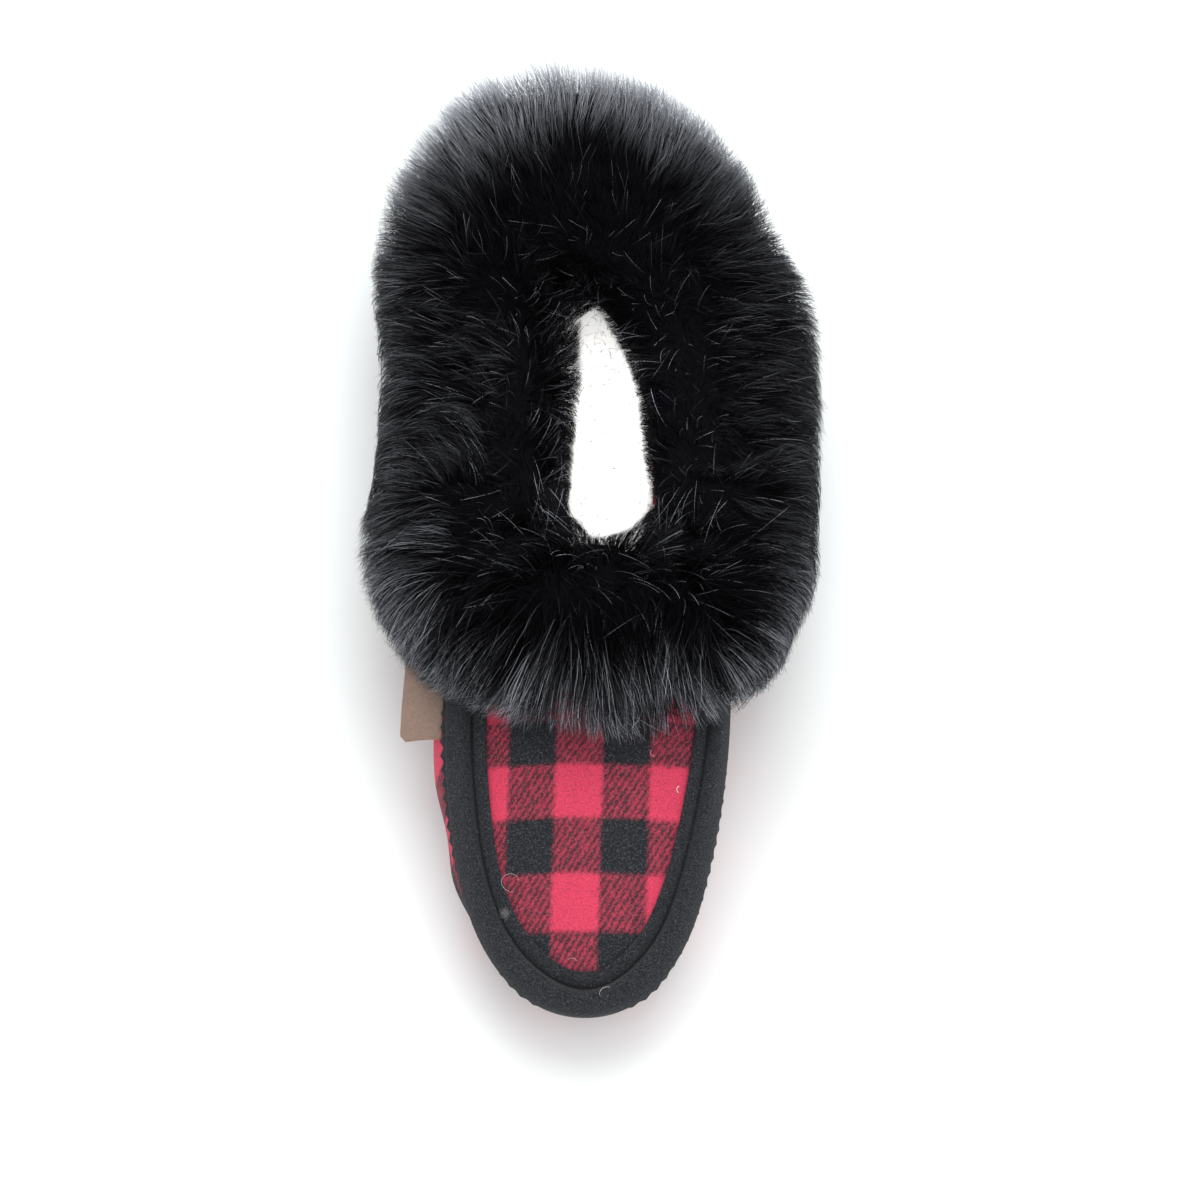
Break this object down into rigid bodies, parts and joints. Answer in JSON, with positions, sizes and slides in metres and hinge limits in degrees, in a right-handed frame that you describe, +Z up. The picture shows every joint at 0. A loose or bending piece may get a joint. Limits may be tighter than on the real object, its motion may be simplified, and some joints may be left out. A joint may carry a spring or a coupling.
{
  "type": "moccasin slipper",
  "caption": "Plaid wool moccasin slipper for the right foot with a felt-trimmed vamp plug, a deep black fur collar, a side label and a thin rubber sole.",
  "frame": {"origin": "on the floor under the middle of the slipper's bounding box", "axes": "+Y from toe to heel, +Z up, -X the outer side of the right foot"},
  "size_m": [0.147, 0.2959, 0.0889],
  "materials": {
    "outsole_rubber": "matt moulded rubber",
    "fleece": "short cream fleece pile",
    "plaid_wool": "brushed wool twill in red and black checks",
    "black_felt": "dense black felt",
    "label_leather": "bare tan leather, fine grain",
    "black_fur": "long glossy black fur"
  },
  "bodies": {
    "root": {"outsole": "outsole_rubber", "insole": "fleece", "upper": "plaid_wool", "vamp_plug": "plaid_wool", "felt_trim": "black_felt", "pinked_strip": "black_felt", "side_label": "label_leather", "fur_collar": "black_fur"}
  },
  "joints": []
}
